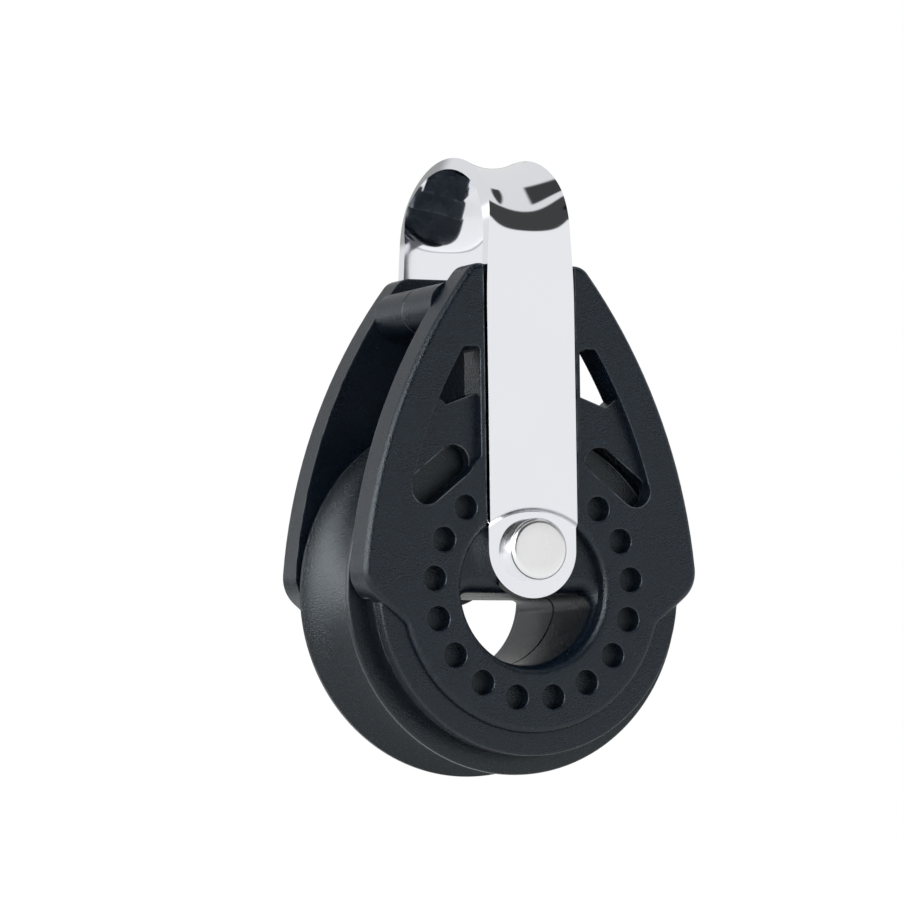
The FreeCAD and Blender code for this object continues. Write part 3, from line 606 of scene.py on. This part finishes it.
def polish_marks(name):
    """Group: hairlines and faint smears left by polishing along one direction."""
    tree, entry, result = start_group(
        name, {"Stretch": (9000.0, 9000.0, 300.0), "Smear": 150.0}, ["Hairline", "Smear"])
    place = add_node(tree, "ShaderNodeTexCoord", (-800, 0))
    stretched = add_node(tree, "ShaderNodeVectorMath", (-600, 100), operation="MULTIPLY")
    lines = add_node(tree, "ShaderNodeTexNoise", (-400, 100), Scale=1.0, Detail=4.0, Roughness=0.6)
    smear = add_node(tree, "ShaderNodeTexNoise", (-400, -200), Detail=3.0)
    link(tree, place, "Object", stretched, 0)
    link(tree, entry, "Stretch", stretched, 1)
    link(tree, stretched, 0, lines, "Vector")
    link(tree, place, "Object", smear, "Vector")
    link(tree, entry, "Smear", smear, "Scale")
    link(tree, lines, 0, result, "Hairline")
    link(tree, smear, 0, result, "Smear")
    return tree


def axis_distance(tree, entry):
    """Return the distance from the line along Y that lies at the group's Level."""
    place = add_node(tree, "ShaderNodeTexCoord", (-1000, 0))
    parts = add_node(tree, "ShaderNodeSeparateXYZ", (-800, 0))
    flat = add_node(tree, "ShaderNodeCombineXYZ", (-400, 0))
    reach = add_node(tree, "ShaderNodeVectorMath", (-200, 0), operation="LENGTH")
    link(tree, place, "Object", parts, "Vector")
    link(tree, parts, "X", flat, "X")
    lowered = calculate(tree, "SUBTRACT", (-600, -100), parts.outputs["Z"], entry.outputs["Level"])
    tree.links.new(lowered, flat.inputs["Z"])
    link(tree, flat, 0, reach, 0)
    return reach.outputs["Value"]


def turning_rings(name):
    """Group: fine rings about a line along Y, as a turned or spun face has."""
    tree, entry, result = start_group(name, {"Level": 0.0, "Rings": 6000.0}, ["Height"])
    scaled = calculate(tree, "MULTIPLY", (0, 0), axis_distance(tree, entry), entry.outputs["Rings"])
    rings = add_node(tree, "ShaderNodeTexNoise", (200, 0), noise_dimensions="1D", Scale=1.0, Detail=3.0)
    tree.links.new(scaled, rings.inputs["W"])
    link(tree, rings, 0, result, "Height")
    return tree


def crease_shade_line(name):
    """Group: mask of the line where the strap bends in to its seat, along an arc over the rivet, where
    painted shade is laid.
    """
    tree, entry, result = start_group(name, {"Level": 0.0, "Radius": 0.0067, "Width": 0.00015}, ["Mask"])
    offset = calculate(tree, "SUBTRACT", (0, 0), axis_distance(tree, entry), entry.outputs["Radius"])
    share = calculate(tree, "DIVIDE", (200, 0), offset, entry.outputs["Width"])
    distance = calculate(tree, "ABSOLUTE", (400, 0), share)
    near = calculate(tree, "SUBTRACT", (600, 0), 1.0, distance, use_clamp=True)
    tree.links.new(near, result.inputs["Mask"])
    return tree


# ------------------------------------------------------------------ materials

# Texture scales are per metre, depths of relief and widths are in metres. A tone multiplies a base
# colour, and a pair of tones or of roughnesses is for 0 and for 1 of the texture that varies it.
CHEEK_GRAIN = 9000.0
SHEAVE_GRAIN = 9500.0
BALL_GRAIN = 9000.0
CHEEK_RELIEF = 0.000026
SHEAVE_RELIEF = 0.000018
PLASTIC_BLOTCH = 260.0
BALL_BLOTCH = 500.0
# Reach and patch size of the lighter edges, which are partly scuffing and partly a painted highlight.
WEAR_HIGHLIGHT_REACH = 0.0002
WEAR_HIGHLIGHT_PATCH = 900.0
PLASTIC_TONES = (0.8, 1.25)
# Tone of the lighter grain specks, which partly stand for painted glints of light off the grain.
SPECK_GLINT_TONE = 9.0
PLASTIC_ROUGHNESS = (0.23, 0.32)
COOL_TINT = (0.88, 0.97, 1.0, 1.0)
STRAP_TONE = 0.97
STRAP_ROUGHNESS = (0.04, 0.09)
HAIRLINE_RELIEF = 0.0000004
# Painted shade along the crease over the rivet: its inset, width, share and tone.
CREASE_INSET = 0.10 * MM
CREASE_WIDTH = 0.17 * MM
CREASE_SHADE_SHARE = 0.6
CREASE_SHADE_TONE = 0.12
RIVET_RINGS = 9000.0
RIVET_TONE = 0.94
RIVET_ROUGHNESS = (0.2, 0.34)
RING_RELIEF = 0.000002
BALL_TONE = 0.92
BALL_ROUGHNESS = (0.18, 0.3)
BALL_SCATTER = {"Subsurface Weight": 0.1, "Subsurface Radius": (0.001, 0.001, 0.0008)}


def start_material(name):
    """Return a new material, its node tree and the shader of its surface."""
    material = bpy.data.materials.new(name)
    material.use_nodes = True
    tree = material.node_tree
    tree.nodes.clear()
    shader = add_node(tree, "ShaderNodeBsdfPrincipled", (300, 0))
    output = add_node(tree, "ShaderNodeOutputMaterial", (600, 0))
    link(tree, shader, "BSDF", output, "Surface")
    return material, tree, shader


def scaled_colour(base, tone):
    """Return a colour made lighter or darker, up to white."""
    return tuple(min(channel * tone, 1.0) for channel in base)


def vary_roughness(tree, shader, source, roughness):
    """Let the roughness follow source over this pair."""
    tree.links.new(spread(tree, (-200, -50), source, *roughness), shader.inputs["Roughness"])


def add_relief(tree, shader, height, depth):
    """Give the surface a fine relief of this depth."""
    bump = add_node(tree, "ShaderNodeBump", (0, -200), Strength=1.0, Distance=depth)
    tree.links.new(height, bump.inputs["Height"])
    link(tree, bump, "Normal", shader, "Normal")


def moulded_plastic(name, base, grain, relief):
    """Near-black plastic with a moulded grain, specks that partly stand for painted glints, and lighter edges
    that are partly scuffing from handling and partly a painted highlight.
    """
    rubbed = bpy.context.scene.block_colours.rubbed
    material, tree, shader = start_material(name)
    shader.inputs["Specular Tint"].default_value = COOL_TINT
    skin = use_group(tree, moulded_grain, (-700, 0), Grain=grain, Blotch=PLASTIC_BLOTCH)
    wear_and_highlight = use_group(tree, edge_wear_and_highlight, (-700, -300), Reach=WEAR_HIGHLIGHT_REACH, Patch=WEAR_HIGHLIGHT_PATCH)
    darker, lighter = (scaled_colour(base, tone) for tone in PLASTIC_TONES)
    blotchy = mix_colours(tree, (-400, 200), skin.outputs["Blotch"], darker, lighter)
    # Painted glints: lighter specks of the grain are mixed into the base colour. They are partly the grain's
    # own flecks and partly glints of light off it.
    specked_with_glints = mix_colours(tree, (-200, 200), skin.outputs["Speck"], blotchy, scaled_colour(base, SPECK_GLINT_TONE))
    # Painted highlight: thin outer edges are painted lighter. This is partly scuffing from handling and
    # partly the light that the edges catch.
    worn_and_highlit = mix_colours(tree, (0, 200), wear_and_highlight.outputs["Mask"], specked_with_glints, rubbed)
    tree.links.new(worn_and_highlit, shader.inputs["Base Color"])
    vary_roughness(tree, shader, skin.outputs["Blotch"], PLASTIC_ROUGHNESS)
    add_relief(tree, shader, skin.outputs["Height"], relief)
    return material


def cheek_plastic():
    """Plastic of the cheeks."""
    base = bpy.context.scene.block_colours.cheek
    return moulded_plastic("Moulded cheek plastic", base, CHEEK_GRAIN, CHEEK_RELIEF)


def sheave_plastic():
    """Plastic of the sheave, with a finer grain."""
    base = bpy.context.scene.block_colours.sheave
    return moulded_plastic("Moulded sheave plastic", base, SHEAVE_GRAIN, SHEAVE_RELIEF)


def strap_steel():
    """Polished stainless steel with hairlines, and painted shade along the crease of the step."""
    sizes = bpy.context.scene.strap_sizes
    base = bpy.context.scene.block_colours.strap
    material, tree, shader = start_material("Polished strap steel")
    shader.inputs["Metallic"].default_value = 1.0
    marks = use_group(tree, polish_marks, (-600, 0))
    crease = use_group(tree, crease_shade_line, (-600, 300), Level=sizes.joggle_top - sizes.joggle_radius,
                       Radius=sizes.joggle_radius - CREASE_INSET, Width=CREASE_WIDTH)
    smeared = mix_colours(tree, (-300, 200), marks.outputs["Smear"], scaled_colour(base, STRAP_TONE), base)
    # Painted shade: the base colour darkens along the crease. This stands in for the dark line that the step
    # shows in its reflection.
    crease_shade = spread(tree, (-300, 400), crease.outputs["Mask"], 0.0, CREASE_SHADE_SHARE)
    crease_shaded = mix_colours(tree, (-100, 200), crease_shade, smeared, scaled_colour(base, CREASE_SHADE_TONE))
    tree.links.new(crease_shaded, shader.inputs["Base Color"])
    vary_roughness(tree, shader, marks.outputs["Smear"], STRAP_ROUGHNESS)
    add_relief(tree, shader, marks.outputs["Hairline"], HAIRLINE_RELIEF)
    return material


def rivet_steel():
    """Turned steel with fine rings."""
    base = bpy.context.scene.block_colours.rivet
    material, tree, shader = start_material("Turned rivet steel")
    shader.inputs["Metallic"].default_value = 1.0
    rings = use_group(tree, turning_rings, (-600, 0), Level=RIVET_LEVEL, Rings=RIVET_RINGS)
    marks = use_group(tree, polish_marks, (-600, -300))
    ringed = mix_colours(tree, (-200, 200), rings.outputs["Height"], scaled_colour(base, RIVET_TONE), base)
    tree.links.new(ringed, shader.inputs["Base Color"])
    vary_roughness(tree, shader, marks.outputs["Smear"], RIVET_ROUGHNESS)
    add_relief(tree, shader, rings.outputs["Height"], RING_RELIEF)
    return material


def ball_plastic():
    """Smooth off-white plastic that light enters a little."""
    base = bpy.context.scene.block_colours.ball
    material, tree, shader = start_material("Ball plastic")
    set_inputs(shader, BALL_SCATTER)
    skin = use_group(tree, moulded_grain, (-700, 0), Grain=BALL_GRAIN, Blotch=BALL_BLOTCH)
    blotchy = mix_colours(tree, (-200, 200), skin.outputs["Blotch"], scaled_colour(base, BALL_TONE), base)
    tree.links.new(blotchy, shader.inputs["Base Color"])
    vary_roughness(tree, shader, skin.outputs["Blotch"], BALL_ROUGHNESS)
    return material


# ------------------------------------------------------------------ studio

WHITE = (1.0, 1.0, 1.0, 1.0)
CAMERA_CLIP = (0.01, 20.0)
FLOOR_SIZE = 8.0
FLOOR_COLOUR = (0.8, 0.8, 0.8)
FLOOR_ROUGHNESS = 0.9
FLOOR_SEEN_GLOW = 0.62
FLOOR_MIRRORED_GLOW = 0.05
FLOOR_BEHIND = (0.10, 0.25)
FLOOR_BEHIND_TONE = 0.12
LAMP_SIZE = 0.6
LAMP_AIM = Vector((0, 0, 0.01))
LAMPS = (
    ("left_box", (-0.75, -0.35, 0.35), 5.0),
    ("right_box", (0.6, -0.6, 0.5), 3.0),
    ("top_box", (-0.1, 0.15, 0.9), 1.2),
)

# What polished faces mirror depends on the direction that a mirrored ray leaves in: +X to the right,
# +Y to the back and +Z up. A pair is a soft edge: the places where it begins and where it is full.
# A level is a brightness, and a change is added to the level around.
FRONT_LEVEL = 0.86
CARD_CHANGE = -0.81
CARD_FOOT = (0.24, 0.28)
CARD_SLOPE = 1.45
CARD_HEAD = (-0.06, 0.06)
OVER_CARD_CHANGE = -0.12
BACK_EDGE = (0.25, 0.45)
BACK_LOW_LEVEL = 0.38
BACK_HIGH_LEVEL = 0.74
BACK_HIGH_EDGE = (0.12, 0.26)
BACK_RIGHT_CHANGE = -0.30
BACK_RIGHT_EDGE = (0.24, 0.32)
BACK_LEFT_CHANGE = 0.40
BACK_LEFT_EDGE = (-0.30, -0.40)
DOOR_CHANGE = -0.40
DOOR_LEFT = (-0.28, -0.12)
DOOR_HEAD = (0.44, 0.50)
BOX_LEVEL = 5.4
BOX_RIGHT = (-0.50, -0.62)
BOX_FOOT = (-0.60, -0.50)
BOX_SLOPE = 0.5
BOX_HEAD = (0.42, 0.55)
SHADE_CHANGE = -0.94
STAND_RIGHT = (0.12, 0.04)
STAND_LEFT = (-0.42, -0.48)
STAND_BACK = (-0.78, -0.84)
CEILING_FOOT = (0.60, 0.64)
CEILING_FRONT = (-0.40, -0.33)
CEILING_BACK = (0.16, 0.24)
GAP_LEFT = (0.34, 0.40)
GAP_RIGHT = (0.66, 0.70)
UNMIRRORED_LEVEL = 0.55


def pale_floor():
    """Material of the floor: it glows where it is seen, and behind the block it is mirrored darker."""
    material, tree, shader = start_material("Pale floor")
    path = add_node(tree, "ShaderNodeLightPath", (-600, 200))
    mirrored = calculate(tree, "MAXIMUM", (-400, 100), path.outputs["Is Glossy Ray"],
                         path.outputs["Is Transmission Ray"])
    dimmed = calculate(tree, "MULTIPLY", (-200, 100), mirrored, FLOOR_MIRRORED_GLOW)
    glow = calculate(tree, "MULTIPLY_ADD", (0, 200), path.outputs["Is Camera Ray"], FLOOR_SEEN_GLOW, dimmed)
    place = add_node(tree, "ShaderNodeTexCoord", (-800, -200))
    parts = add_node(tree, "ShaderNodeSeparateXYZ", (-600, -200))
    link(tree, place, "Object", parts, "Vector")
    behind = rise(tree, (-400, -200), parts.outputs["Y"], *FLOOR_BEHIND)
    darkened = calculate(tree, "MULTIPLY", (-200, -200), behind, mirrored)
    colour_seen = mix_colours(tree, (0, -100), darkened, FLOOR_COLOUR,
                              scaled_colour(FLOOR_COLOUR, FLOOR_BEHIND_TONE))
    tree.links.new(colour_seen, shader.inputs["Base Color"])
    tree.links.new(glow, shader.inputs["Emission Strength"])
    set_inputs(shader, {"Roughness": FLOOR_ROUGHNESS, "Specular IOR Level": 0.0, "Emission Color": WHITE})
    return material


def add_lamp(name, place, power):
    """Add a square soft box that faces the block. The world stands for it where the block mirrors it."""
    bpy.ops.object.light_add(type="AREA", location=place)
    lamp = bpy.context.object
    lamp.name = name
    lamp.data.shape = "SQUARE"
    lamp.data.size = LAMP_SIZE
    lamp.data.energy = power
    lamp.visible_glossy = False
    aim = LAMP_AIM - Vector(place)
    lamp.rotation_mode = "QUATERNION"
    lamp.rotation_quaternion = aim.to_track_quat("-Z", "Y")
    return lamp


def soft_edge(tree, place, source, edge):
    """Return 0 to 1 as source crosses this edge."""
    return rise(tree, place, source, *edge, shape="SMOOTHSTEP")


def between(tree, place, source, first, second):
    """Return 1 where source is past the first edge but not past the second."""
    near = soft_edge(tree, (place[0] - 200, place[1]), source, first)
    far = soft_edge(tree, (place[0] - 200, place[1] - 200), source, second)
    return calculate(tree, "SUBTRACT", place, near, far)


def blend(tree, place, factor, first, second):
    """Return first where factor is 0 and second where it is 1."""
    difference = calculate(tree, "SUBTRACT", (place[0] - 100, place[1]), second, first)
    return calculate(tree, "MULTIPLY_ADD", place, factor, difference, first)


def front_level(tree, depth, height):
    """Brightness of the front of the room, which has a dark card above the block's level."""
    slope = calculate(tree, "MULTIPLY_ADD", (-1200, 300), depth, CARD_SLOPE, height)
    over = soft_edge(tree, (-1000, 400), slope, CARD_HEAD)
    under = calculate(tree, "SUBTRACT", (-900, 400), 1.0, over)
    above_foot = soft_edge(tree, (-1000, 200), height, CARD_FOOT)
    card = calculate(tree, "MULTIPLY", (-800, 200), above_foot, under)
    bright = calculate(tree, "MULTIPLY_ADD", (-800, 0), over, OVER_CARD_CHANGE, FRONT_LEVEL)
    return calculate(tree, "MULTIPLY_ADD", (-600, 200), card, CARD_CHANGE, bright)


def back_level(tree, side, height):
    """Brightness of the back of the room: lighter high up, where it has a dark doorway."""
    right = soft_edge(tree, (-1000, -200), side, BACK_RIGHT_EDGE)
    left = soft_edge(tree, (-1000, -300), side, BACK_LEFT_EDGE)
    straight = calculate(tree, "MULTIPLY_ADD", (-800, -300), right, BACK_RIGHT_CHANGE, BACK_LOW_LEVEL)
    low = calculate(tree, "MULTIPLY_ADD", (-700, -300), left, BACK_LEFT_CHANGE, straight)
    past_left = soft_edge(tree, (-1000, -250), side, DOOR_LEFT)
    across = calculate(tree, "SUBTRACT", (-900, -250), past_left, right)
    over = soft_edge(tree, (-1000, -350), height, DOOR_HEAD)
    under = calculate(tree, "SUBTRACT", (-900, -350), 1.0, over)
    doorway = calculate(tree, "MULTIPLY", (-850, -250), across, under)
    high = calculate(tree, "MULTIPLY_ADD", (-800, -250), doorway, DOOR_CHANGE, BACK_HIGH_LEVEL)
    upper = soft_edge(tree, (-1000, -400), height, BACK_HIGH_EDGE)
    return blend(tree, (-500, -300), upper, low, high)


def box_mask(tree, side, depth, height):
    """Mask of the light box at the left, whose top slopes down towards the back."""
    slope = calculate(tree, "MULTIPLY_ADD", (-1200, -1000), depth, BOX_SLOPE, height)
    above_foot = soft_edge(tree, (-1000, -800), height, BOX_FOOT)
    over = soft_edge(tree, (-1000, -1000), slope, BOX_HEAD)
    upright = calculate(tree, "SUBTRACT", (-800, -800), above_foot, over)
    across = soft_edge(tree, (-1000, -600), side, BOX_RIGHT)
    return calculate(tree, "MULTIPLY", (-600, -700), across, upright)


def shade_mask(tree, side, depth, height):
    """Mask of a dark stand in front of the block and of a dark ceiling panel with a gap in it."""
    stand_side = between(tree, (-800, -1200), side, STAND_RIGHT, STAND_LEFT)
    stand_depth = soft_edge(tree, (-1000, -1600), depth, STAND_BACK)
    stand = calculate(tree, "MULTIPLY", (-600, -1400), stand_side, stand_depth)
    panel_depth = between(tree, (-800, -1800), depth, CEILING_FRONT, CEILING_BACK)
    gap = between(tree, (-800, -2200), side, GAP_LEFT, GAP_RIGHT)
    closed = calculate(tree, "SUBTRACT", (-700, -2300), 1.0, gap)
    panel = calculate(tree, "MULTIPLY", (-600, -2000), panel_depth, closed)
    overhead = soft_edge(tree, (-1000, -2600), height, CEILING_FOOT)
    ceiling = calculate(tree, "MULTIPLY", (-500, -2100), panel, overhead)
    return calculate(tree, "MAXIMUM", (-400, -1700), stand, ceiling)


def add_background(tree, place, strength):
    """Return white light of this strength."""
    node = add_node(tree, "ShaderNodeBackground", place, Color=WHITE)
    plug(tree, strength, node.inputs["Strength"])
    return node.outputs[0]


def choose_light(tree, place, ray_kind, others, chosen):
    """Return the chosen light for one kind of ray and the other light for all others."""
    node = add_node(tree, "ShaderNodeMixShader", place)
    for socket, value in zip(node.inputs, (ray_kind, others, chosen)):
        tree.links.new(value, socket)
    return node.outputs[0]


def build_world():
    """Light the block from all round; what looks past it sees plain white."""
    world = bpy.data.worlds.new("Studio")
    bpy.context.scene.world = world
    world.use_nodes = True
    tree = world.node_tree
    tree.nodes.clear()
    place = add_node(tree, "ShaderNodeTexCoord", (-1400, 0))
    parts = add_node(tree, "ShaderNodeSeparateXYZ", (-1200, 0))
    link(tree, place, "Generated", parts, "Vector")
    side, depth, height = (parts.outputs[name] for name in ("X", "Y", "Z"))

    behind = soft_edge(tree, (-1000, 0), depth, BACK_EDGE)
    room = blend(tree, (-300, 0), behind, front_level(tree, depth, height), back_level(tree, side, height))
    lit_room = blend(tree, (-150, -300), box_mask(tree, side, depth, height), room, BOX_LEVEL)
    shade = shade_mask(tree, side, depth, height)
    unshaded = calculate(tree, "MULTIPLY_ADD", (-300, -800), shade, SHADE_CHANGE, 1.0)
    mirrored = calculate(tree, "MULTIPLY", (-100, -100), lit_room, unshaded)

    path = add_node(tree, "ShaderNodeLightPath", (-400, 300))
    seen = add_background(tree, (0, 200), 1.0)
    gloss = add_background(tree, (0, 0), mirrored)
    plain = add_background(tree, (0, -200), UNMIRRORED_LEVEL)
    lighting = choose_light(tree, (200, -100), path.outputs["Is Glossy Ray"], plain, gloss)
    light = choose_light(tree, (400, 0), path.outputs["Is Camera Ray"], lighting, seen)
    output = add_node(tree, "ShaderNodeOutputWorld", (600, 0))
    tree.links.new(light, output.inputs["Surface"])


def place_camera(settings):
    """Stand the camera off its aim, turned by yaw, pitch and roll."""
    back = Vector((math.sin(settings.yaw) * math.cos(settings.pitch),
                   -math.cos(settings.yaw) * math.cos(settings.pitch),
                   math.sin(settings.pitch)))
    level = Vector((math.cos(settings.yaw), math.sin(settings.yaw), 0))
    upright = back.cross(level)
    right = level * math.cos(settings.roll) + upright * math.sin(settings.roll)
    up = upright * math.cos(settings.roll) - level * math.sin(settings.roll)
    bpy.ops.object.camera_add()
    camera = bpy.context.object
    camera.name = "Camera"
    camera.data.sensor_width = SENSOR_WIDTH
    camera.data.lens = settings.lens
    camera.data.clip_start, camera.data.clip_end = CAMERA_CLIP
    turn = Matrix((right, up, back)).transposed()
    camera.rotation_mode = "QUATERNION"
    camera.rotation_quaternion = turn.to_quaternion()
    camera.location = Vector((settings.aim_side, 0, settings.aim_up)) + back * settings.distance
    bpy.context.scene.camera = camera


class SHEAVE_OT_stage(bpy.types.Operator):
    """Set up the floor, the lamps, the world and the camera"""
    bl_idname = "sheave.stage"
    bl_label = "Stage"

    def execute(self, context):
        settings = context.scene.studio_settings
        deselect_all()
        bpy.ops.mesh.primitive_plane_add(size=FLOOR_SIZE, location=(0, 0, settings.floor_level))
        floor = context.object
        floor.name = "studio_floor"
        floor.data.materials.append(pale_floor())
        for name, place, power in LAMPS:
            add_lamp(name, place, power)
        build_world()
        place_camera(settings)
        context.scene.view_settings.view_transform = "Standard"
        return {"FINISHED"}


# ------------------------------------------------------------------ add-on

class SHEAVE_PT_panel(bpy.types.Panel):
    """Shows a button for each step and all settings"""
    bl_label = "Sheave Block"
    bl_idname = "SHEAVE_PT_panel"
    bl_space_type = "VIEW_3D"
    bl_region_type = "UI"
    bl_category = "Sheave Block"

    def draw(self, context):
        for name in STEPS:
            self.layout.operator(f"sheave.{name}")
        for attribute in SETTINGS:
            group = getattr(context.scene, attribute)
            box = self.layout.box()
            for key in group.__annotations__:
                box.prop(group, key)


SETTINGS = {
    "strap_sizes": StrapSizes,
    "rivet_sizes": RivetSizes,
    "sheave_sizes": SheaveSizes,
    "block_colours": BlockColours,
    "studio_settings": StudioSettings,
}
OPERATORS = (SHEAVE_OT_strap, SHEAVE_OT_rivet, SHEAVE_OT_sheave, SHEAVE_OT_cheeks, SHEAVE_OT_balls,
             SHEAVE_OT_stage)
STEPS = ("strap", "rivet", "sheave", "cheeks", "balls", "stage")


def register():
    for group in SETTINGS.values():
        bpy.utils.register_class(group)
    for operator in OPERATORS:
        bpy.utils.register_class(operator)
    bpy.utils.register_class(SHEAVE_PT_panel)
    for attribute, group in SETTINGS.items():
        setattr(bpy.types.Scene, attribute, PointerProperty(type=group))


def unregister():
    for attribute in SETTINGS:
        delattr(bpy.types.Scene, attribute)
    bpy.utils.unregister_class(SHEAVE_PT_panel)
    for operator in reversed(OPERATORS):
        bpy.utils.unregister_class(operator)
    for group in reversed(SETTINGS.values()):
        bpy.utils.unregister_class(group)


def main():
    register()
    for name in STEPS:
        getattr(bpy.ops.sheave, name)()


if __name__ == "__main__":
    main()
